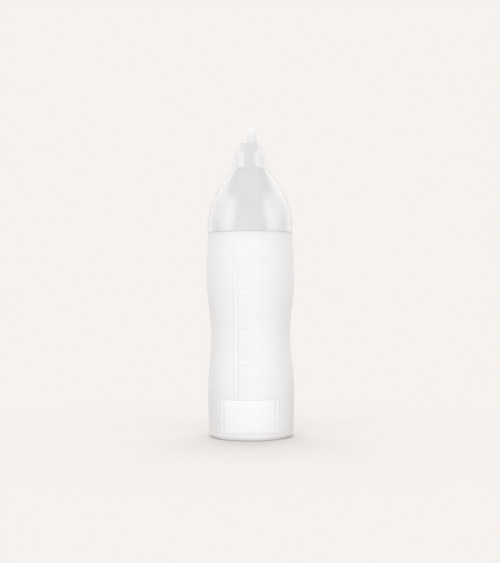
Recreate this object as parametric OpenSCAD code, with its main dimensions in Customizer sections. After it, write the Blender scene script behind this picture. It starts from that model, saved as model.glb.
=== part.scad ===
// Squeeze bottle: a waisted, wide-mouth plastic bottle with a screw-on
// conical hood, a small off-centre spout and a pull-off closure cap.
// Origin at the centre of the base ring, +Z up, the graduated front faces -Y.
// Millimetres.

/* [Bottle body] */
// Height of the body up to its shoulder
body_h = 142; // [140:0.5:144]
// Outer radius just above the base corner
base_r = 29.5; // [29:0.1:29.8]
// Outer radius of the lower bulge
belly_r = 29.95; // [29.8:0.05:30.2]
// Height of the widest point of the lower bulge
belly_z = 33; // [28:1:38]
// Outer radius at the waist, where the hand grips
waist_r = 27.4; // [26.5:0.1:28.5]
// Height of the waist
waist_z = 70; // [64:1:76]
// Outer radius of the upper bulge
chest_r = 30.4; // [30:0.1:31]
// Height of the widest point of the upper bulge
chest_z = 108.5; // [102:0.5:114]
// Outer radius at the shoulder, under the hood
shoulder_r = 29.0; // [28.8:0.1:29.4]
// Wall thickness of the blown body
body_wall = 1.0; // [0.8:0.1:1.2]
// Radius of the rounding between base and side
base_corner = 3.0; // [2:0.5:4]
// Inner radius of the flat ring the bottle stands on
foot_in_r = 21.5; // [20:0.5:23]
// Height of the pushed-up centre of the base
push_up = 3; // [1:0.2:3.4]

/* [Neck and thread] */
// Radius of the mouth's bore
mouth_r = 24.0; // [23.5:0.1:24.2]
// Outer radius of the neck between the threads
neck_r = 25.6; // [25.4:0.1:25.7]
// Height of the neck's rim above the base
neck_top = 155; // [154.5:0.5:155.5]
// Lead of the single-start right-hand thread
thread_lead = 4; // [4:0.5:4.5]
// Crest radius of the neck's thread
neck_crest_r = 26.8; // [26.6:0.1:26.8]
// Crest radius of the hood's thread
hood_crest_r = 26.0; // [26:0.1:26.2]

/* [Hood] */
// Height of the hood's lower edge
hood_z = 142.2; // [142.2:0.1:142.6]
// Outer radius of the hood's skirt
skirt_r = 29.5; // [29.3:0.1:29.7]
// Inner radius of the hood's skirt between the threads
skirt_in_r = 27.2; // [27.1:0.1:27.4]
// Height at which the skirt starts to curve in
dome_z = 147; // [146:0.5:148]
// Height of the crease between the dome and the stub
crease_z = 186.6; // [185:0.2:188]
// Outer radius at the crease
crease_r = 12.3; // [12:0.1:12.8]
// Height of the hood's flat top
hood_top = 204.5; // [203:0.5:206]
// Wall thickness of the hood
hood_wall = 1.6; // [1.4:0.1:1.8]
// Inner radius of the sealing land above the neck
land_r = 23.6; // [23.4:0.1:23.8]
// Thickness of the sealing ring on the neck's rim
seal_t = 1.2; // [1:0.1:1.5]

/* [Spout and tip cap] */
// Sideways offset of the spout from the bottle's axis
spout_x = 1.9; // [1.5:0.1:2.3]
// Height of the spout above the hood's flat top
spout_h = 6; // [5:0.5:6.5]
// Outer radius of the spout at its foot
spout_r = 3.3; // [3.2:0.1:3.3]
// Radius of the outlet bore
outlet_r = 0.9; // [0.8:0.1:1]
// Outer radius of the tip cap at its rim
cap_r = 4.55; // [4.5:0.05:4.7]
// Height of the tip cap
cap_h = 10.6; // [10.4:0.1:11]

/* [Graduations] */
// Height of the 100 ml line
line_100 = 43.8; // [42:0.2:45]
// Height of the 200 ml line
line_200 = 85.0; // [83:0.2:87]
// Height of the 300 ml line
line_300 = 121.8; // [120:0.2:123]
// How far the graduations stand out of the wall
relief = 0.3; // [0.2:0.05:0.4]
// Width of the label panel
panel_w = 38.4; // [36:0.2:40]
// Height of the label panel's lower edge
panel_z = 6.5; // [5:0.5:8]
// Height of the label panel
panel_h = 21.0; // [20:0.1:22]
// Depth of the label panel
panel_d = 0.3; // [0.2:0.05:0.4]

/* [Hidden] */
fine = 96;

// ---- outline of the body ----
// Half-cosine step from a to b as t runs from 0 to 1.
function ease(a, b, t) = a + (b - a) * (1 - cos(180 * t)) / 2;
// Outer radius of the body at height z: belly, waist, chest, shoulder.
function body_r(z) =
    z < belly_z ? ease(base_r, belly_r, max(0, (z - base_corner) / (belly_z - base_corner))) :
    z < waist_z ? ease(belly_r, waist_r, (z - belly_z) / (waist_z - belly_z)) :
    z < chest_z ? ease(waist_r, chest_r, (z - waist_z) / (chest_z - waist_z)) :
    chest_r - (chest_r - shoulder_r) * pow((z - chest_z) / (body_h - chest_z), 2.4);
// Stations up the side, from the top of the base corner to the shoulder.
side_z = [for (i = [0:39]) base_corner + (body_h - base_corner - 0.5) * i / 39];

function outer_pts(d = 0) = concat(
    [[0, push_up], [foot_in_r - 3, push_up], [foot_in_r, 0], [base_r - base_corner, 0]],
    [for (a = [15:15:75]) [base_r - base_corner + (base_corner + d) * sin(a),
                           base_corner - (base_corner + d) * cos(a)]],
    [for (z = side_z) [body_r(z) + d, z]]);

module outer_solid() {
    rotate_extrude($fn = fine) polygon(concat(outer_pts(),
        [[shoulder_r - 0.5, body_h], [neck_r, body_h], [neck_r, neck_top - 0.4],
         [neck_r - 0.4, neck_top], [0, neck_top]]));
}

module inner_space() {
    ir = base_corner - body_wall;
    rotate_extrude($fn = fine) polygon(concat(
        [[0, push_up + body_wall], [foot_in_r - 2.6, push_up + body_wall],
         [foot_in_r + 0.4, body_wall], [base_r - base_corner, body_wall]],
        [for (a = [30:30:60]) [base_r - base_corner + ir * sin(a), base_corner - ir * cos(a)]],
        [for (z = side_z) if (z < body_h - 3) [body_r(z) - body_wall, z]],
        [[shoulder_r - body_wall - 0.6, body_h - 1.6], [mouth_r + 0.8, body_h - 1.2],
         [mouth_r, body_h - 0.2], [mouth_r, neck_top + 1], [0, neck_top + 1]]));
}

// ---- one helical thread, as a swept trapezoid ----
// r0 root radius, r1 crest radius, w0 and w1 widths there, from angle a0 to a1;
// z0 is the height of the thread's middle at angle 0. The section shrinks to
// nothing over the last 30 degrees at each end.
module helix(r0, r1, w0, w1, a0, a1, z0) {
    n = ceil((a1 - a0) / 10);
    step = (a1 - a0) / n;
    fade = function (a) min(1, max(0.06, (a - a0) / 30), max(0.06, (a1 - a) / 30));
    pts = [for (i = [0:n]) let (a = a0 + i * step, k = fade(a), z = z0 + thread_lead * a / 360,
            rc = r0 + (r1 - r0) * k)
        each [[r0 * cos(a), r0 * sin(a), z - w0 / 2 * max(0.3, k)],
              [rc * cos(a), rc * sin(a), z - w1 / 2 * max(0.3, k)],
              [rc * cos(a), rc * sin(a), z + w1 / 2 * max(0.3, k)],
              [r0 * cos(a), r0 * sin(a), z + w0 / 2 * max(0.3, k)]]];
    inward = r1 < r0;
    quads = [for (i = [0:n - 1], j = [0:3]) let (a = 4 * i + j, b = 4 * i + (j + 1) % 4)
        inward ? [b, a, a + 4, b + 4] : [a, b, b + 4, a + 4]];
    ends = inward ? [[0, 1, 2, 3], [4 * n + 3, 4 * n + 2, 4 * n + 1, 4 * n]]
                  : [[3, 2, 1, 0], [4 * n, 4 * n + 1, 4 * n + 2, 4 * n + 3]];
    polyhedron(points = pts, faces = concat(quads, ends), convexity = 6);
}

// ---- graduations on the front ----
function line_z(ml) =
    ml <= 100 ? line_100 - (100 - ml) * 0.41 :
    ml <= 200 ? line_100 + (line_200 - line_100) * (ml - 100) / 100 :
    line_200 + (line_300 - line_200) * (ml - 200) / 100;

module bar(x0, x1, z0, z1) {
    translate([x0, -40, z0]) cube([x1 - x0, 25, z1 - z0]);
}

module graduations() {
    intersection() {
        rotate_extrude($fn = fine) polygon(concat([[20, 26]],
            [for (z = side_z) if (z > 26 && z < 126) [body_r(z) + relief, z]], [[20, 126]]));
        union() {
            bar(-10.9, -9.9, panel_z + panel_h + 0.3, line_300 + 0.25);
            for (ml = [100:100:300]) bar(-7.8, 3.1, line_z(ml) - 0.25, line_z(ml) + 0.25);
            for (ml = [70:10:290]) if (ml % 100 != 0)
                bar(-7.8, ml % 50 == 0 ? 0.4 : -1.7, line_z(ml) - 0.2, line_z(ml) + 0.2);
        }
    }
}

// ---- sub-parts ----
module bottle_body() {
    color("whitesmoke") difference() {
        union() {
            outer_solid();
            graduations();
            helix(neck_r - 0.3, neck_crest_r, 2.2, 1.0, 0, 540, 145.5);
        }
        inner_space();
        // shallow label panel low on the front
        intersection() {
            translate([-panel_w / 2, -40, panel_z]) cube([panel_w, 25, panel_h]);
            rotate_extrude($fn = fine) polygon(concat(
                [for (z = side_z) if (z < 34) [body_r(z) - panel_d, z]],
                [[40, 34], [40, base_corner]]));
        }
    }
}

module neck_seal_ring() {
    color("gainsboro") rotate_extrude($fn = fine)
        polygon([[mouth_r - 0.3, neck_top], [neck_r + 1.2, neck_top],
                 [neck_r + 1.4, neck_top + 0.2], [neck_r + 1.4, neck_top + seal_t - 0.2],
                 [neck_r + 1.2, neck_top + seal_t], [mouth_r - 0.3, neck_top + seal_t]]);
}

// Outer radius of the hood's dome at height z.
dome_pow = 1.867;
function dome_r(z) = skirt_r - (skirt_r - crease_r) * pow((z - dome_z) / (crease_z - dome_z), dome_pow);
function dome_slope(z) = (skirt_r - crease_r) * dome_pow / (crease_z - dome_z)
    * pow((z - dome_z) / (crease_z - dome_z), dome_pow - 1);
dome_stations = [for (i = [0:16]) dome_z + (crease_z - dome_z) * i / 16];
stub_bend = hood_top - 8.8;
land_z = neck_top + seal_t;

module hood_outer() {
    rotate_extrude($fn = fine) polygon(concat(
        [[0, hood_z], [skirt_r - 0.9, hood_z], [skirt_r - 0.45, hood_z + 0.3],
         [skirt_r - 0.12, hood_z + 1.5], [skirt_r, hood_z + 3.4]],
        [for (z = dome_stations) [dome_r(z), z]],
        [[crease_r - 0.1, crease_z + 0.6], [10.7, stub_bend]],
        [for (t = [0.2:0.2:1]) [10.7 - 2.2 * pow(t, 1.35), stub_bend + 6.3 * t]],
        [[7.9, hood_top - 1.1], [7.2, hood_top - 0.3], [6.5, hood_top], [0, hood_top]]));
}

module hood_inner() {
    w = hood_wall;
    rotate_extrude($fn = fine) polygon(concat(
        [[0, hood_z - 1], [skirt_in_r + 0.4, hood_z - 1], [skirt_in_r, hood_z + 0.4],
         [skirt_in_r, land_z], [land_r, land_z], [land_r, land_z + 1.2]],
        [for (z = dome_stations) if (z > land_z + 3.2 && z < crease_z - 1)
            [dome_r(z) - w * sqrt(1 + pow(dome_slope(z), 2)), z]],
        [[crease_r - w - 0.1, crease_z - 0.2], [10.7 - w, stub_bend],
         [8.5 - w + 0.2, hood_top - 3.2], [6.2, hood_top - 1.8], [5.6, hood_top - w], [0, hood_top - w]]));
}

module hood() {
    color("gainsboro") difference() {
        union() {
            difference() {
                hood_outer();
                hood_inner();
            }
            translate([spout_x, 0, hood_top - 0.4])
                cylinder(r1 = spout_r, r2 = outlet_r + 0.85, h = spout_h + 0.4, $fn = 48);
            helix(skirt_in_r + 0.35, hood_crest_r, 2.2, 1.0, 60, 500, 144);
        }
        // outlet: a straight bore over a conical lead-in
        translate([spout_x, 0, hood_top - w_top() - 1])
            cylinder(r = outlet_r, h = spout_h + w_top() + 3, $fn = 48);
        translate([spout_x, 0, hood_top - w_top() - 0.01])
            cylinder(r1 = 2.3, r2 = outlet_r, h = 4.5, $fn = 48);
    }
}
function w_top() = hood_wall;

module tip_cap() {
    color("white") translate([spout_x, 0, hood_top]) difference() {
        rotate_extrude($fn = fine) polygon([[0, 0], [cap_r, 0], [cap_r, 0.7], [4.25, 1.5],
            [3.75, 2.9], [3.2, 4.4], [2.85, 6.2], [2.5, 7.6], [2.25, 8.8], [2.0, 9.6],
            [1.5, 10.3], [0.8, cap_h], [0, cap_h]]);
        rotate_extrude($fn = fine) polygon([[0, -1], [3.75, -1], [3.5, 0.4], [3.1, 1.9],
            [2.45, 4.2], [2.05, 6.3], [1.6, 7.8], [0.9, 8.8], [0, 9.2]]);
    }
}

bottle_body();
neck_seal_ring();
hood();
tip_cap();
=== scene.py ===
"""Looks for the squeeze bottle: smooth shells with real wall thickness, moulded
graduations, threads, seal ring, hood with its off-centre spout, and tip cap."""
import math

import bpy
import numpy as np
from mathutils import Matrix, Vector


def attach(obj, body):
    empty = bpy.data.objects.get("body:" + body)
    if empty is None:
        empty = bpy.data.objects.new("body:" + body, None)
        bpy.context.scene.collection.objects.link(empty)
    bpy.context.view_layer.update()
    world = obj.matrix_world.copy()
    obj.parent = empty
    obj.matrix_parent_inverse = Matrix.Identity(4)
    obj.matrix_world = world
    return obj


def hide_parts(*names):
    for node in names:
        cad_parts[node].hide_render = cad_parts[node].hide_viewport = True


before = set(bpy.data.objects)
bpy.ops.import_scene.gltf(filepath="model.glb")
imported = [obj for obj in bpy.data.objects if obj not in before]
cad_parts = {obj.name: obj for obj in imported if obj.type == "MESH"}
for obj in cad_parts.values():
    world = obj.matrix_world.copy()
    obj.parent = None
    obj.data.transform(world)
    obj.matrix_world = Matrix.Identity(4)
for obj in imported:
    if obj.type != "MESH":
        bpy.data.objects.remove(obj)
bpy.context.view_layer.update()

MM = 0.001

# ------------------------------------------------------------------ outlines
BASE_R, BELLY_R, BELLY_Z = 29.5, 29.95, 33.0
WAIST_R, WAIST_Z, CHEST_R, CHEST_Z = 27.4, 70.0, 30.4, 108.5
SHOULDER_R, BODY_H, CORNER, WALL = 29.0, 142.0, 3.0, 1.0
PUSH_UP, FOOT_IN = 3.0, 21.5
MOUTH_R, NECK_R, NECK_TOP, NECK_CREST = 24.0, 25.6, 155.0, 26.8
LEAD = 4.0
HOOD_Z, SKIRT_R, SKIRT_IN, HOOD_CREST = 142.2, 29.5, 27.2, 26.0
DOME_Z, CREASE_Z, CREASE_R, HOOD_TOP = 147.0, 186.6, 12.3, 204.5
SEAL_T, LAND_R, HOOD_WALL = 1.2, 23.6, 1.6
SPOUT_X, SPOUT_H, SPOUT_R, OUTLET_R = 1.9, 6.0, 3.3, 0.9
CAP_R, CAP_H = 4.55, 10.6
LINE = {100: 43.8, 200: 85.0, 300: 121.8}
PANEL_X, PANEL_Z0, PANEL_Z1 = 19.2, 6.5, 27.5
BASE_LINE = 4.1
PANEL_D, PANEL_BEVEL, PANEL_CUT, PANEL_GROOVE, PANEL_STEP = 0.28, 1.3, 0.6, 0.42, 2.7


def ease(a, b, t):
    return a + (b - a) * (1 - math.cos(math.pi * t)) / 2


def body_r(z):
    if z < BELLY_Z:
        return ease(BASE_R, BELLY_R, max(0.0, (z - CORNER) / (BELLY_Z - CORNER)))
    if z < WAIST_Z:
        return ease(BELLY_R, WAIST_R, (z - BELLY_Z) / (WAIST_Z - BELLY_Z))
    if z < CHEST_Z:
        return ease(WAIST_R, CHEST_R, (z - WAIST_Z) / (CHEST_Z - WAIST_Z))
    return CHEST_R - (CHEST_R - SHOULDER_R) * ((z - CHEST_Z) / (BODY_H - CHEST_Z)) ** 2.4


DOME_P = 1.867


def dome_r(z):
    return SKIRT_R - (SKIRT_R - CREASE_R) * ((z - DOME_Z) / (CREASE_Z - DOME_Z)) ** DOME_P


def dome_slope(z):
    k = (z - DOME_Z) / (CREASE_Z - DOME_Z)
    return (SKIRT_R - CREASE_R) * DOME_P / (CREASE_Z - DOME_Z) * k ** (DOME_P - 1)


def smooth(t):
    t = np.clip(t, 0.0, 1.0)
    return t * t * (3 - 2 * t)


def fillet(points, radii, n=5):
    """A polyline with its corners rounded: a few points on each arc."""
    out = [points[0]]
    for i in range(1, len(points) - 1):
        p, a, b = Vector(points[i]), Vector(points[i - 1]), Vector(points[i + 1])
        r = radii[i]
        if not r:
            out.append(tuple(p))
            continue
        ua, ub = (a - p), (b - p)
        t = min(r, ua.length * 0.48, ub.length * 0.48)
        q0, q1 = p + ua.normalized() * t, p + ub.normalized() * t
        for k in range(n + 1):
            s = k / n
            out.append(tuple((1 - s) ** 2 * q0 + 2 * s * (1 - s) * p + s * s * q1))
    out.append(points[-1])
    return out


def dense(points, step):
    """The same polyline with no piece longer than step."""
    out = [points[0]]
    for a, b in zip(points, points[1:]):
        n = max(1, math.ceil(math.dist(a, b) / step))
        for k in range(1, n + 1):
            out.append(tuple(a[j] + (b[j] - a[j]) * k / n for j in range(len(a))))
    return out


# ------------------------------------------------------------------ mesh work
def grid_mesh(name, rings, closed=False, pole0=None, pole1=None):
    """One watertight skin from rings of equal length. rings is (rows, columns, 3)
    in mm. closed joins the last ring to the first; a pole closes an end."""
    rings = np.asarray(rings, float)
    nr, nc = rings.shape[:2]
    verts = rings.reshape(-1, 3)
    j = np.arange(nc)
    j1 = (j + 1) % nc
    faces = []
    rows = range(nr) if closed else range(nr - 1)
    for i in rows:
        a, b = i * nc, ((i + 1) % nr) * nc
        faces.append(np.stack([a + j, a + j1, b + j1, b + j], 1))
    quads = np.concatenate(faces).tolist()
    extra = []
    if pole0 is not None:
        verts = np.vstack([verts, pole0])
        k = len(verts) - 1
        extra += [[k, int(q1), int(q)] for q, q1 in zip(j, j1)]
    if pole1 is not None:
        verts = np.vstack([verts, pole1])
        k = len(verts) - 1
        base = (nr - 1) * nc
        extra += [[k, base + int(q), base + int(q1)] for q, q1 in zip(j, j1)]
    me = bpy.data.meshes.new(name)
    me.from_pydata((verts * MM).tolist(), [], quads + extra)
    me.validate()
    ob = bpy.data.objects.new(name, me)
    bpy.context.scene.collection.objects.link(ob)
    # outward faces: the signed volume has to be positive
    me.calc_loop_triangles()
    v = np.empty(len(me.vertices) * 3)
    me.vertices.foreach_get("co", v)
    v = v.reshape(-1, 3)
    t = np.empty(len(me.loop_triangles) * 3, np.int32)
    me.loop_triangles.foreach_get("vertices", t)
    t = t.reshape(-1, 3)
    vol = np.einsum("ij,ij->i", v[t[:, 0]], np.cross(v[t[:, 1]], v[t[:, 2]])).sum()
    if vol < 0:
        me.flip_normals()
    me.shade_smooth()
    return ob


def circle(r, z, n, cx=0.0):
    a = np.arange(n) * 2 * math.pi / n
    return np.stack([cx + r * np.sin(a), -r * np.cos(a), np.full(n, z)], 1)


def helix_height(a_deg, z, z0, a0, a1, w0, w1, h):
    """Height of a single-start thread over its root at angle a_deg and height z:
    a trapezoid with rounded flanks that fades out at both ends."""
    best = np.zeros(np.broadcast(a_deg, z).shape)
    for turn in range(-1, 4):
        a = a_deg + 360.0 * turn
        inside = (a >= a0) & (a <= a1)
        fade = smooth((a - a0) / 28.0) * smooth((a1 - a) / 28.0)
        d = np.abs(z - (z0 + LEAD * a / 360.0))
        t = np.clip((w0 / 2 - d) / ((w0 - w1) / 2), 0, 1)
        best = np.maximum(best, np.where(inside, h * smooth(t) * fade, 0.0))
    return best


# ------------------------------------------------------------------ graduations
def seg_dist(x, z, x0, z0, x1, z1):
    dx, dz = x1 - x0, z1 - z0
    t = np.clip(((x - x0) * dx + (z - z0) * dz) / (dx * dx + dz * dz + 1e-12), 0, 1)
    return np.hypot(x - x0 - t * dx, z - z0 - t * dz)


def arc_pts(cx, cz, rx, rz, a0, a1, n=14):
    return [(cx + rx * math.cos(math.radians(a0 + (a1 - a0) * k / n)),
             cz + rz * math.sin(math.radians(a0 + (a1 - a0) * k / n))) for k in range(n + 1)]


# Plain figures in a box 1 wide and 2 high, drawn as strokes.
GLYPH = {
    "0": [arc_pts(0.5, 1.35, 0.5, 0.65, 0, 180) + arc_pts(0.5, 0.65, 0.5, 0.65, 180, 360) + [(1.0, 1.35)]],
    "1": [[(0.15, 1.6), (0.6, 2.0), (0.6, 0.0)]],
    "2": [arc_pts(0.5, 1.48, 0.5, 0.52, 165, -35) + [(0.0, 0.0), (1.0, 0.0)]],
    "3": [arc_pts(0.48, 1.5, 0.46, 0.5, 150, -90), arc_pts(0.48, 0.5, 0.52, 0.5, 90, -150)],
}


def strokes(text, x0, z0, w, h, gap):
    out = []
    for ch in text:
        for line in GLYPH[ch]:
            pts = [(x0 + px * w, z0 + pz / 2 * h) for px, pz in line]
            out += list(zip(pts, pts[1:]))
        x0 += w + gap
    return out


DIG_W, DIG_H, DIG_GAP, DIG_X = 1.25, 3.3, 0.62, 4.1
FIGURES = []
for ml, z in LINE.items():
    FIGURES.append((z, strokes(str(ml), DIG_X, z - DIG_H / 2, DIG_W, DIG_H, DIG_GAP)))


def line_z(ml):
    if ml <= 100:
        return LINE[100] - (100 - ml) * 0.41
    if ml <= 200:
        return LINE[100] + (LINE[200] - LINE[100]) * (ml - 100) / 100
    return LINE[200] + (LINE[300] - LINE[200]) * (ml - 200) / 100


TICKS = []  # (x end, z, half width, height)
for ml in range(70, 301, 10):
    if ml % 100 == 0:
        TICKS.append((3.1, line_z(ml), 0.42, 0.28))
    elif ml % 50 == 0:
        TICKS.append((0.4, line_z(ml), 0.36, 0.22))
    else:
        TICKS.append((-1.7, line_z(ml), 0.34, 0.17))
RIB_X, RIB_H, RIB_CUT = -10.4, 0.5, 0.7
RIB_TOP = LINE[300] + 0.4
RIB_BOT = PANEL_Z1 + 0.25


def box_ramp(v, a, b, e):
    """1 between a and b, falling smoothly to 0 over e outside."""
    return smooth((v - a) / e + 1) * smooth((b - v) / e + 1)


def relief(x, z):
    """Height in mm of everything moulded on the front, at x across and z up."""
    h = np.zeros(np.broadcast(x, z).shape)
    # the upright rib: a low ridge with a fine groove along its right foot
    rib = RIB_H * smooth((x - RIB_X + 1.6) / 1.5) * smooth((RIB_X + 1.1 - x) / 1.0) \
        - RIB_CUT * smooth(1.15 * (1 - np.abs(x - RIB_X - 1.65) / 0.7))
    h = h + rib * box_ramp(z, RIB_BOT, RIB_TOP, 0.25)
    for x1, zc, w, k in TICKS:
        h = np.maximum(h, k * box_ramp(x, RIB_X + 2.6, x1, 0.18) * smooth(1.5 * (1 - np.abs(z - zc) / (w + 0.12))))
    for zc, segs in FIGURES:
        near = (z > zc - 2.4) & (z < zc + 2.4) & (x > DIG_X - 0.7) & (x < DIG_X + 6.2)
        if not near.any():
            continue
        d = np.full(h.shape, 9.0)
        xb, zb = np.broadcast_arrays(x, z)
        for (ax, az), (bx, bz) in segs:
            d = np.minimum(d, seg_dist(xb, zb, ax, az, bx, bz))
        h = np.maximum(h, 0.24 * smooth((0.44 - d) / 0.28))
    # label panel: a shallow pocket inside a fine groove, with a step line a little
    # in from its right edge
    left, right = x + PANEL_X, PANEL_X - x
    low, top = z - PANEL_Z0, PANEL_Z1 - z
    h = h - PANEL_D * smooth(left / 0.4) * smooth(top / 0.4) * smooth(right / PANEL_BEVEL) * smooth(low / 0.7)
    h = h - 0.2 * smooth(1.15 * (1 - np.abs(right - PANEL_STEP) / 0.5)) * smooth(low / 0.6) * smooth(top / 0.6)
    for e, cut, along in ((left, 1.6, (low, top)), (right, 1.6, (low, top)), (top, 0.9, (left, right)), (low, 0.3, (left, right))):
        ends = smooth((along[0] + PANEL_CUT) / PANEL_CUT) * smooth((along[1] + PANEL_CUT) / PANEL_CUT)
        h = h - cut * PANEL_GROOVE * smooth(1.15 * (1 - np.abs(e + 0.05) / PANEL_CUT)) * ends
    return h


# ------------------------------------------------------------------ bottle body
def lines(*parts):
    """Sorted grid lines with near-duplicates dropped."""
    v = sorted(set(round(float(q), 4) for p in parts for q in p))
    out = [v[0]]
    for q in v[1:]:
        if q - out[-1] > 0.045:
            out.append(q)
    return out


X_MAX = 21.0
PANEL_LINES = (-0.65, -0.48, -0.3, -0.15, -0.03, 0.12, 0.27, 0.42, 0.57, 0.8, 1.05, 1.35)
xs = lines(
    np.arange(-X_MAX, X_MAX + 0.01, 1.5),
    [RIB_X + d for d in (-1.6, -1.2, -0.8, -0.4, 0.0, 0.35, 0.7, 0.95, 1.15, 1.3, 1.45, 1.6, 1.75, 1.9, 2.05, 2.2, 2.35)],
    [v + d for v in (3.1, 0.4, -1.7) for d in (-0.04, 0.09, 0.2)],
    np.arange(DIG_X - 0.45, DIG_X + 3 * DIG_W + 2 * DIG_GAP + 0.46, 0.155),
    [-PANEL_X + d for d in PANEL_LINES[:8]], [PANEL_X - d for d in PANEL_LINES],
    [PANEL_X - PANEL_STEP + d for d in (-0.5, -0.3, -0.15, 0.0, 0.15, 0.3, 0.5)],
)
rear = np.linspace(52.0, 308.0, 88).tolist()
for seam in (90.0, 270.0):
    rear = [v for v in rear if abs(v - seam) > 1.3] + [seam + d for d in (-0.95, -0.45, 0.0, 0.45, 0.95)]
rear = sorted(rear)
COLS = len(xs) + len(rear)


def col_angles(r):
    """Angles of the columns round a ring of radius r, from the front: the front
    columns stand above each other, so that upright features stay straight."""
    rr = min(max(r, 27.3), 31.0)
    return np.concatenate([np.arcsin(np.array(xs) / rr), np.radians(rear)])


def body_ring(r, z, front=False, seam=0.0, thread=False, bead=False):
    a = col_angles(r)
    rad = np.full(COLS, float(r))
    zz = np.full(COLS, float(z))
    if front:
        n = len(xs)
        rad[:n] += relief(np.array(xs), np.full(n, float(z)))
    if seam:
        d = np.degrees(np.abs(((a + math.pi / 2) % math.pi) - math.pi / 2 - 0.0))
        off = np.minimum(np.abs(np.degrees(a) - 90), np.abs(np.degrees(a) - 270))
        rad += seam * smooth(1 - off / 0.8)
    if thread:
        # angles for the helix run from +X towards +Y
        ax = np.degrees(np.arctan2(-np.cos(a), np.sin(a))) % 360
        rad += helix_height(ax, zz, 145.5, 0.0, 540.0, 2.1, 0.9, NECK_CREST - NECK_R)
    x, y = rad * np.sin(a), -rad * np.cos(a)
    if bead:
        # the pinch-off bead across the middle of the base, hanging from the push-up
        zz -= 0.45 * smooth(1.3 * (1 - np.abs(y) / 0.75)) * smooth((17.5 - np.abs(x)) / 1.2)
    return np.stack([x, y, zz], 1)


rings = []
# underside: pushed-up centre, its slope, then the foot ring
base_line = fillet([(0.0, PUSH_UP), (FOOT_IN - 3.2, PUSH_UP), (FOOT_IN - 0.2, 0.06), (BASE_R - CORNER, 0.0)],
                   [0, 1.4, 0.8, 0], 5)
base_line = dense(base_line, 0.9)
for r, z in base_line[1:]:
    rings.append(body_ring(r, z, bead=r < 18.4))
for a in (12, 24, 36, 48, 60, 72, 82):
    rings.append(body_ring(BASE_R - CORNER + CORNER * math.sin(math.radians(a)),
                           CORNER - CORNER * math.cos(math.radians(a)), seam=0.03))
side_z = lines(
    np.arange(CORNER, BODY_H - 0.9, 1.8),
    [z + d for _, z, w, _ in TICKS for d in (-w - 0.14, -w * 0.55, w * 0.55, w + 0.14)],
    [z + d for _, z, _, _ in TICKS[7::10] for d in (0.0,)],
    [v for z, _ in FIGURES for v in np.arange(z - DIG_H / 2 - 0.45, z + DIG_H / 2 + 0.46, 0.165)],
    [PANEL_Z0 + d for d in PANEL_LINES], [PANEL_Z1 - d for d in PANEL_LINES[:8]],
    [BASE_LINE + d for d in (-0.9, -0.6, -0.3, 0.0, 0.3, 0.6, 0.9)],
    [RIB_BOT + d for d in (-0.25, -0.1, 0.05)], [RIB_TOP + d for d in (-0.05, 0.1, 0.25)],
)
for z in side_z:
    # the base insert's parting line runs round as a faint dip
    dip = 0.2 * float(smooth(1 - abs(z - BASE_LINE) / 0.95))
    rings.append(body_ring(body_r(z) - dip, z, front=CORNER + 1 < z < 126, seam=0.055))
# shoulder: rounded edge, flat seat under the hood, then the neck
top_r = body_r(BODY_H - 0.6)
shoulder = fillet([(top_r, BODY_H - 0.8), (SHOULDER_R - 0.02, BODY_H), (NECK_R, BODY_H), (NECK_R, BODY_H + 1.2)],
                  [0, 0.16, 0.6, 0], 5)
for r, z in shoulder[1:]:
    rings.append(body_ring(r, z))
for z in np.arange(BODY_H + 1.4, NECK_TOP - 0.9, 0.22):
    rings.append(body_ring(NECK_R, z, thread=True))
rim = fillet([(NECK_R, NECK_TOP - 0.9), (NECK_R, NECK_TOP), (MOUTH_R, NECK_TOP), (MOUTH_R, NECK_TOP - 1.6)],
             [0, 0.45, 0.4, 0], 5)
for r, z in rim:
    rings.append(body_ring(r, z))
# inside, from the mouth down to the floor
inner = fillet([(MOUTH_R, NECK_TOP - 2.0), (MOUTH_R, BODY_H - 0.8), (body_r(BODY_H - 3.5) - WALL, BODY_H - 1.4),
                (body_r(BODY_H - 6) - WALL, BODY_H - 6)], [0, 0.8, 1.6, 0], 5)
for r, z in dense(inner[1:], 3.0):
    rings.append(body_ring(r, z))
for z in np.arange(BODY_H - 9, CORNER + 0.5, -3.4):
    rings.append(body_ring(body_r(z) - WALL, z))
for a in (80, 60, 40, 20):
    rings.append(body_ring(BASE_R - CORNER + 2.0 * math.sin(math.radians(a)), CORNER - 2.0 * math.cos(math.radians(a))))
floor_line = fillet([(BASE_R - CORNER, 1.0), (FOOT_IN + 0.6, 1.05), (FOOT_IN - 2.6, PUSH_UP + 1.0), (0.0, PUSH_UP + 1.0)],
                    [0, 0.9, 1.4, 0], 4)
for r, z in dense(floor_line, 3.5)[:-1]:
    rings.append(body_ring(r, z))
body = grid_mesh("bottle_body_shell", rings,
                 pole0=[0, 0, PUSH_UP - 0.45], pole1=[0, 0, PUSH_UP + 1.0])

# ------------------------------------------------------------------ hood
HC = 224
rings = []
HOOD_LOW = BODY_H + 0.03
outer = [(SKIRT_IN + 0.35, HOOD_LOW)] + fillet(
    [(SKIRT_IN + 0.6, HOOD_LOW), (SKIRT_R - 0.16, HOOD_LOW), (SKIRT_R - 0.04, HOOD_Z + 1.6), (SKIRT_R, HOOD_Z + 3.6)],
    [0, 0.16, 0.6, 0], 6)
outer += [(dome_r(z), z) for z in np.linspace(DOME_Z, CREASE_Z - 1.4, 46)]
outer += fillet([(dome_r(CREASE_Z - 1.4), CREASE_Z - 1.4), (CREASE_R - 0.02, CREASE_Z + 0.1), (CREASE_R - 0.3, CREASE_Z + 1.5)],
                [0, 0.95, 0], 7)[1:]
BEND = HOOD_TOP - 8.8
outer += [(CREASE_R - 0.3 + (10.7 - CREASE_R + 0.3) * t, CREASE_Z + 1.5 + (BEND - CREASE_Z - 1.5) * t)
          for t in (0.25, 0.5, 0.75, 1.0)]
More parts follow.
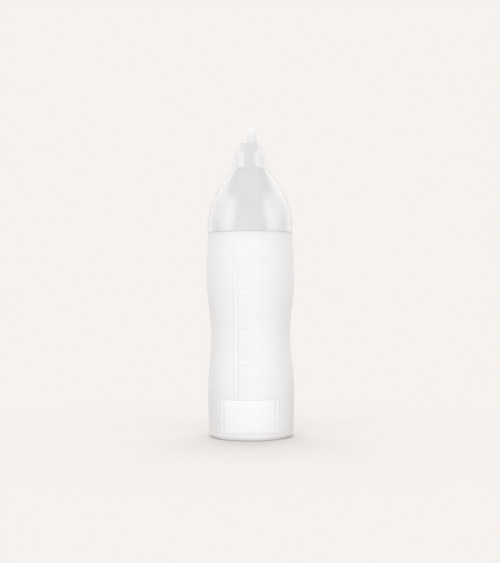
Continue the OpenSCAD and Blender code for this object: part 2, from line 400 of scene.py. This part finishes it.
outer += [(10.7 - 2.2 * t ** 1.35, BEND + 6.3 * t) for t in (0.12, 0.25, 0.38, 0.5, 0.62, 0.75, 0.88, 1.0)]
outer += fillet([(8.5, BEND + 6.3), (7.95, HOOD_TOP - 1.1), (7.3, HOOD_TOP), (6.3, HOOD_TOP)], [0, 0.7, 0.9, 0], 6)[1:]
for r, z in outer:
    rings.append(circle(r, z, HC))
# flat top: the rings slide over to the spout's own centre
for t in (0.25, 0.5, 0.75):
    rings.append(circle(6.3 + (SPOUT_R + 1.0 - 6.3) * t, HOOD_TOP, HC, cx=(SPOUT_X) * t))
spout = fillet([(SPOUT_R + 1.0, HOOD_TOP), (SPOUT_R, HOOD_TOP), (OUTLET_R + 0.85, HOOD_TOP + SPOUT_H),
                (OUTLET_R, HOOD_TOP + SPOUT_H), (OUTLET_R, HOOD_TOP + 2.8), (2.25, HOOD_TOP - 1.5)],
               [0, 0.06, 0.3, 0.22, 0.4, 0], 5)
for r, z in dense(spout, 1.2):
    rings.append(circle(r, z, HC, cx=SPOUT_X))
for t in (0.5, 1.0):
    rings.append(circle(2.25 + (5.2 - 2.25) * t, HOOD_TOP - HOOD_WALL, HC, cx=SPOUT_X * (1 - t)))
w = HOOD_WALL
inside = fillet([(5.2, HOOD_TOP - w), (6.0, HOOD_TOP - w), (8.3 - w + 0.2, HOOD_TOP - 3.6), (10.7 - w, BEND), (CREASE_R - w - 0.1, CREASE_Z - 0.2),
                 (dome_r(CREASE_Z - 3.2) - w * math.hypot(1, dome_slope(CREASE_Z - 3.2)), CREASE_Z - 3.2)],
                [0, 0.9, 1.4, 1.0, 1.0, 0], 5)
inside = dense(inside[1:], 2.0)
inside += [(dome_r(z) - w * math.hypot(1, dome_slope(z)), z) for z in np.linspace(CREASE_Z - 4.8, 160.2, 22)]
LAND_Z = NECK_TOP + SEAL_T
inside += fillet([(dome_r(159.9) - w * math.hypot(1, dome_slope(159.9)), 159.9), (LAND_R, LAND_Z + 1.3), (LAND_R, LAND_Z),
                  (SKIRT_IN, LAND_Z), (SKIRT_IN, LAND_Z - 1.0)], [0, 0.4, 0.25, 0.0, 0], 4)[1:]
for r, z in inside:
    rings.append(circle(r, z, HC))
ang = np.degrees(np.arange(HC) * 2 * math.pi / HC)
ax = (ang - 90.0) % 360  # from +X towards +Y
for z in np.arange(LAND_Z - 1.2, HOOD_Z + 0.7, -0.22):
    c = circle(1.0, z, HC)
    h = helix_height(ax, np.full(HC, z), 144.0, 60.0, 500.0, 2.1, 0.9, SKIRT_IN - HOOD_CREST)
    c[:, :2] *= (SKIRT_IN - h)[:, None]
    rings.append(c)
rings.append(circle(SKIRT_IN, HOOD_Z + 0.5, HC))
rings.append(circle(SKIRT_IN + 0.12, HOOD_Z + 0.15, HC))
hood = grid_mesh("hood_shell", rings, closed=True)

# ------------------------------------------------------------------ seal ring
ring_sec = fillet([(25.0, NECK_TOP), (NECK_R + 1.38, NECK_TOP), (NECK_R + 1.38, NECK_TOP + SEAL_T),
                   (MOUTH_R - 0.3, NECK_TOP + SEAL_T), (MOUTH_R - 0.3, NECK_TOP), (24.9, NECK_TOP)],
                  [0, 0.32, 0.32, 0.32, 0.32, 0], 5)
seal = grid_mesh("seal_ring", [circle(r, z, 192) for r, z in ring_sec], closed=True)

# ------------------------------------------------------------------ tip cap
CC = 96
Z = HOOD_TOP
cap_in = fillet([(0.0, Z + 9.1), (0.75, Z + 8.9), (1.6, Z + 7.6), (2.05, Z + 6.3), (2.45, Z + 4.2), (3.1, Z + 1.9), (3.5, Z + 0.4), (3.66, Z)],
                [0, 0.4, 0.6, 0.6, 0.6, 0.6, 0.3, 0], 4)
cap_out = fillet([(3.7, Z), (CAP_R, Z), (CAP_R, Z + 0.75), (4.2, Z + 1.5), (3.72, Z + 2.9), (3.22, Z + 4.4), (2.93, Z + 5.45),
                  (2.74, Z + 5.6), (2.5, Z + 7.4), (2.26, Z + 8.9), (1.95, Z + 9.85), (1.2, Z + CAP_H - 0.04), (0.0, Z + CAP_H)],
                 [0, 0.28, 0.4, 0.5, 0.9, 0.9, 0.14, 0.14, 0.8, 0.7, 0.5, 0.5, 0], 5)
prof = cap_in[1:] + cap_out[:-1]
cap = grid_mesh("tip_cap_shell", [circle(r, z, CC, cx=SPOUT_X) for r, z in prof],
                pole0=[SPOUT_X, 0, Z + 9.1], pole1=[SPOUT_X, 0, Z + CAP_H])


# ------------------------------------------------------------------ materials
class Nodes:
    def __init__(self, name):
        self.m = bpy.data.materials.new(name)
        self.m.use_nodes = True
        self.t = self.m.node_tree
        self.t.nodes.clear()

    def add(self, kind, **kw):
        n = self.t.nodes.new(kind)
        for k, v in kw.items():
            setattr(n, k, v)
        return n

    def link(self, a, b):
        self.t.links.new(a, b)

    def noise(self, scale, detail=3.0, rough=0.5, stretch=None):
        tc = self.add("ShaderNodeTexCoord")
        src = tc.outputs["Object"]
        if stretch:
            mp = self.add("ShaderNodeMapping")
            mp.inputs["Scale"].default_value = stretch
            self.link(src, mp.inputs["Vector"])
            src = mp.outputs["Vector"]
        n = self.add("ShaderNodeTexNoise")
        n.inputs["Scale"].default_value = scale
        n.inputs["Detail"].default_value = detail
        n.inputs["Roughness"].default_value = rough
        self.link(src, n.inputs["Vector"])
        return n.outputs["Fac"]

    def remap(self, fac, a, b, lo=0.3, hi=0.7):
        r = self.add("ShaderNodeMapRange")
        r.inputs["From Min"].default_value = lo
        r.inputs["From Max"].default_value = hi
        r.inputs["To Min"].default_value = a
        r.inputs["To Max"].default_value = b
        self.link(fac, r.inputs["Value"])
        return r.outputs["Result"]

    def mix(self, fac, a, b):
        n = self.add("ShaderNodeMix", data_type="RGBA")
        self.link(fac, n.inputs[0])
        n.inputs[6].default_value = (*a, 1)
        n.inputs[7].default_value = (*b, 1)
        return n.outputs[2]


def plastic(name, light, dark, through, tint, rough, see=0.0, mottle=18.0, grain=1400.0, bump=0.000008, wave=0.00010, spec=0.5, sheen=0.0):
    """Milky polyethylene: a diffuse and glossy skin mixed with light that comes
    through the wall, and with a share that is seen straight through it where the
    wall is met head on. Colour follows slow changes in wall thickness, roughness
    and bump follow the mould's fine texture."""
    k = Nodes(name)
    slow = k.noise(mottle, 2.0, 0.5, stretch=(1, 1, 0.45))
    fine = k.noise(grain, 3.0, 0.6)
    wavy = k.noise(90.0, 2.0, 0.5, stretch=(1, 1, 0.3))
    col = k.mix(k.remap(slow, 0, 1), dark, light)
    p = k.add("ShaderNodeBsdfPrincipled")
    k.link(col, p.inputs["Base Color"])
    p.inputs["IOR"].default_value = 1.51
    p.inputs["Specular IOR Level"].default_value = spec
    if sheen:
        p.inputs["Sheen Weight"].default_value = sheen
        p.inputs["Sheen Roughness"].default_value = 0.3
    k.link(k.remap(fine, rough - 0.04, rough + 0.05), p.inputs["Roughness"])
    b1 = k.add("ShaderNodeBump")
    b1.inputs["Strength"].default_value = 0.5
    b1.inputs["Distance"].default_value = wave
    k.link(wavy, b1.inputs["Height"])
    b2 = k.add("ShaderNodeBump")
    b2.inputs["Strength"].default_value = 0.35
    b2.inputs["Distance"].default_value = bump
    k.link(fine, b2.inputs["Height"])
    k.link(b1.outputs["Normal"], b2.inputs["Normal"])
    k.link(b2.outputs["Normal"], p.inputs["Normal"])
    tr = k.add("ShaderNodeBsdfTranslucent")
    tr.inputs["Color"].default_value = (*tint, 1)
    mx = k.add("ShaderNodeMixShader")
    mx.inputs[0].default_value = through
    k.link(p.outputs[0], mx.inputs[1])
    k.link(tr.outputs[0], mx.inputs[2])
    last = mx.outputs[0]
    if see:
        lw = k.add("ShaderNodeLayerWeight")
        lw.inputs["Blend"].default_value = 0.35
        share = k.remap(lw.outputs["Facing"], see, 0.02, 0.0, 0.34)
        clear = k.add("ShaderNodeBsdfTransparent")
        m2 = k.add("ShaderNodeMixShader")
        k.link(share, m2.inputs[0])
        k.link(last, m2.inputs[1])
        k.link(clear.outputs[0], m2.inputs[2])
        last = m2.outputs[0]
    out = k.add("ShaderNodeOutputMaterial")
    k.link(last, out.inputs["Surface"])
    return k.m


m_body = plastic("body_polyethylene", (0.945, 0.95, 0.955), (0.93, 0.935, 0.94), 0.34, (0.945, 0.95, 0.95), 0.45, spec=0.24)
# painted shade: a darker copy of the body plastic, put on the faces of the rib's groove, the panel's right groove and
# the panel's step line to stand in for the shade in those creases
m_groove_painted_shade = plastic("body_groove_painted_shade", (0.905, 0.91, 0.915), (0.89, 0.895, 0.90), 0.34, (0.905, 0.91, 0.91), 0.45, spec=0.28)
m_panel = plastic("body_panel_finish", (0.985, 0.985, 0.985), (0.975, 0.975, 0.975), 0.30, (0.975, 0.98, 0.98), 0.36, spec=0.30)
m_hood = plastic("hood_polyethylene", (0.75, 0.75, 0.75), (0.73, 0.73, 0.73), 0.22, (0.90, 0.905, 0.91), 0.24, see=0.02, wave=0.00006, sheen=0.25, spec=0.9)
m_cap = plastic("cap_polyethylene", (0.90, 0.915, 0.925), (0.88, 0.895, 0.905), 0.35, (0.94, 0.955, 0.965), 0.33, see=0.06)
m_seal = plastic("seal_silicone", (0.93, 0.93, 0.91), (0.89, 0.89, 0.87), 0.25, (0.93, 0.93, 0.91), 0.55, spec=0.35)

body.data.materials.append(m_body)
body.data.materials.append(m_panel)
body.data.materials.append(m_groove_painted_shade)
# panel faces take the lighter panel plastic; the faces in the rib's groove, the panel's right groove and the step line
# take the darker painted-shade copy
for f in body.data.polygons:
    c = f.center / MM
    if c.y < -10 and abs(c.x) < PANEL_X - 0.25 and PANEL_Z0 + 0.2 < c.z < PANEL_Z1 - 0.2 \
            and math.hypot(c.x, c.y) > body_r(c.z) - 0.6:
        f.material_index = 2 if abs(c.x - PANEL_X + PANEL_STEP) < 0.3 else 1
    elif c.y < -10 and math.hypot(c.x, c.y) > body_r(c.z) - 0.9 \
            and (RIB_X + 1.22 < c.x < RIB_X + 2.3 and RIB_BOT < c.z < RIB_TOP
                 or abs(c.x - PANEL_X - 0.05) < 0.4 and PANEL_Z0 < c.z < PANEL_Z1):
        f.material_index = 2
hood.data.materials.append(m_hood)
cap.data.materials.append(m_cap)
seal.data.materials.append(m_seal)

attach(body, "bottle"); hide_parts("bottle_body")
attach(seal, "seal"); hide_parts("neck_seal_ring")
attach(hood, "hood_body"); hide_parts("hood")
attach(cap, "cap"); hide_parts("tip_cap")

# ------------------------------------------------------------------ studio
BG = (0.917, 0.884, 0.859)


def stage_mesh(name, prof, n=96):
    a = np.arange(n) * 2 * math.pi / n
    rings = np.array([[(r * math.cos(t), r * math.sin(t), z) for t in a] for r, z in prof])
    nr = len(prof)
    faces = [[0 + i * n + j, i * n + (j + 1) % n, (i + 1) * n + (j + 1) % n, (i + 1) * n + j]
             for i in range(nr - 1) for j in range(n)]
    verts = rings.reshape(-1, 3).tolist() + [[0, 0, prof[0][1]]]
    faces += [[len(verts) - 1, (j + 1) % n, j] for j in range(n)]
    me = bpy.data.meshes.new(name)
    me.from_pydata(verts, [], faces)
    me.flip_normals()
    me.shade_smooth()
    ob = bpy.data.objects.new(name, me)
    bpy.context.scene.collection.objects.link(ob)
    return ob


prof = [(0.25, 0.0), (0.6, 0.0), (1.2, 0.0), (1.9, 0.0)] + \
       [(1.9 + 0.7 * math.sin(t), 0.7 - 0.7 * math.cos(t)) for t in np.linspace(0.1, math.pi / 2, 14)] + \
       [(2.6, z) for z in (1.0, 1.6, 2.4, 3.2)]
cyc = stage_mesh("studio_sweep", prof)
k = Nodes("studio_paper")
em = k.add("ShaderNodeEmission")
em.inputs["Color"].default_value = (*BG, 1)
df = k.add("ShaderNodeBsdfDiffuse")
df.inputs["Color"].default_value = (*BG, 1)
# close to the object the paper takes more of its light from the lamps, so that
# it holds a soft contact shadow; further out it glows evenly
geo = k.add("ShaderNodeNewGeometry")
dist = k.add("ShaderNodeVectorMath", operation="LENGTH")
k.link(geo.outputs["Position"], dist.inputs[0])
NEAR, LIT = 0.74, 1.22
fade = k.add("ShaderNodeMath", operation="POWER")
k.link(k.remap(dist.outputs["Value"], 1.0, 0.0, 0.03, 0.30), fade.inputs[0])
fade.inputs[1].default_value = 2.5
share = k.remap(fade.outputs[0], 0.0, NEAR, 0.0, 1.0)
k.link(k.remap(fade.outputs[0], 1.0, 1 - NEAR * LIT, 0.0, 1.0), em.inputs["Strength"])
dark = k.add("ShaderNodeBsdfDiffuse")
dark.inputs["Color"].default_value = (0, 0, 0, 1)
part = k.add("ShaderNodeMixShader")
k.link(share, part.inputs[0])
k.link(dark.outputs[0], part.inputs[1])
k.link(df.outputs[0], part.inputs[2])
ad = k.add("ShaderNodeAddShader")
k.link(em.outputs[0], ad.inputs[0])
k.link(part.outputs[0], ad.inputs[1])
out = k.add("ShaderNodeOutputMaterial")
k.link(ad.outputs[0], out.inputs["Surface"])
cyc.data.materials.append(k.m)

world = bpy.data.worlds.new("soft_sky")
bpy.context.scene.world = world
world.use_nodes = True
bg = world.node_tree.nodes["Background"]
bg.inputs["Color"].default_value = (1.0, 0.99, 0.98, 1)
bg.inputs["Strength"].default_value = 0.8


def area(name, loc, target, size, power, colour=(1, 1, 1)):
    d = bpy.data.lights.new(name, "AREA")
    d.shape = "RECTANGLE"
    d.size, d.size_y = size
    d.energy = power
    d.color = colour
    o = bpy.data.objects.new(name, d)
    o.location = loc
    o.rotation_mode = "QUATERNION"
    o.rotation_quaternion = (Vector(target) - Vector(loc)).to_track_quat("-Z", "Y")
    o.visible_camera = False
    bpy.context.scene.collection.objects.link(o)
    return o


def ring_light(name, az, el, dist, size, power, gloss_only=False, matte=False):
    """A softbox az degrees round from the front (left is minus) and el above level.
    gloss_only is a reflector card; matte is polarised, so gloss doesn't show it."""
    a, e = math.radians(az), math.radians(el)
    loc = (dist * math.sin(a) * math.cos(e), -dist * math.cos(a) * math.cos(e), 0.10 + dist * math.sin(e))
    o = area(name, loc, (0, 0, 0.10), size, power, (0.97, 0.985, 1.0))
    if gloss_only:
        o.visible_diffuse = False
        o.visible_transmission = False
    if matte:
        o.visible_glossy = False


ring_light("soft_left", -50, 10, 1.45, (0.7, 0.9), 0.9, matte=True)
ring_light("soft_front_left", -25, 10, 1.45, (0.7, 0.9), 3.5, matte=True)
ring_light("soft_front", 0, 10, 1.45, (0.7, 0.9), 2.6, matte=True)
ring_light("soft_front_right", 25, 10, 1.45, (0.7, 0.9), 3.6, matte=True)
ring_light("top_rear", 180, 70, 1.10, (0.7, 0.7), 5.0)
# reflector cards: seen only in the gloss, as the bright sides of the hood
ring_light("card_left", -73, 16, 0.90, (0.95, 0.95), 7.8, True)
ring_light("card_right", 73, 16, 0.90, (0.95, 0.95), 7.6, True)
ring_light("card_rear_left", -125, 12, 0.85, (0.8, 1.2), 4.6, True)
ring_light("card_rear_right", 125, 12, 0.85, (0.8, 1.2), 5.2, True)

# two black flags, out of the camera's sight, hold the body's edges down
m_flag = bpy.data.materials.new("flag_black")
m_flag.use_nodes = True
m_flag.node_tree.nodes["Principled BSDF"].inputs["Base Color"].default_value = (0.01, 0.01, 0.01, 1)
m_flag.node_tree.nodes["Principled BSDF"].inputs["Specular IOR Level"].default_value = 0.0
for side in (-1, 1):
    me = bpy.data.meshes.new("flag")
    me.from_pydata([(side * 1.0, y, z) for y, z in ((-0.22, 0.0), (0.30, 0.0), (0.30, 1.1), (-0.22, 1.1))], [], [(0, 1, 2, 3)])
    me.materials.append(m_flag)
    flag = bpy.data.objects.new("flag_left" if side < 0 else "flag_right", me)
    flag.visible_camera = False
    bpy.context.scene.collection.objects.link(flag)

# camera at the photograph's angle: level, straight on, a hair of roll
cam_d = bpy.data.cameras.new("camera")
cam_d.sensor_width = 36.0
cam_d.lens = 36.0 * 1100.0 / 563.0
cam = bpy.data.objects.new("camera", cam_d)
bpy.context.scene.collection.objects.link(cam)
cam.rotation_mode = "XYZ"
cam.location = (-0.4 * 0.0007, -0.770, 0.1079)
cam.rotation_euler = (math.radians(90), 0, 0)
roll = math.radians(0.34)
from mathutils import Matrix
cam.matrix_world = Matrix.Translation(cam.location) @ Matrix.Rotation(math.radians(90), 4, "X") @ Matrix.Rotation(-roll, 4, "Z")
bpy.context.scene.camera = cam
bpy.context.scene.view_settings.view_transform = "Standard"
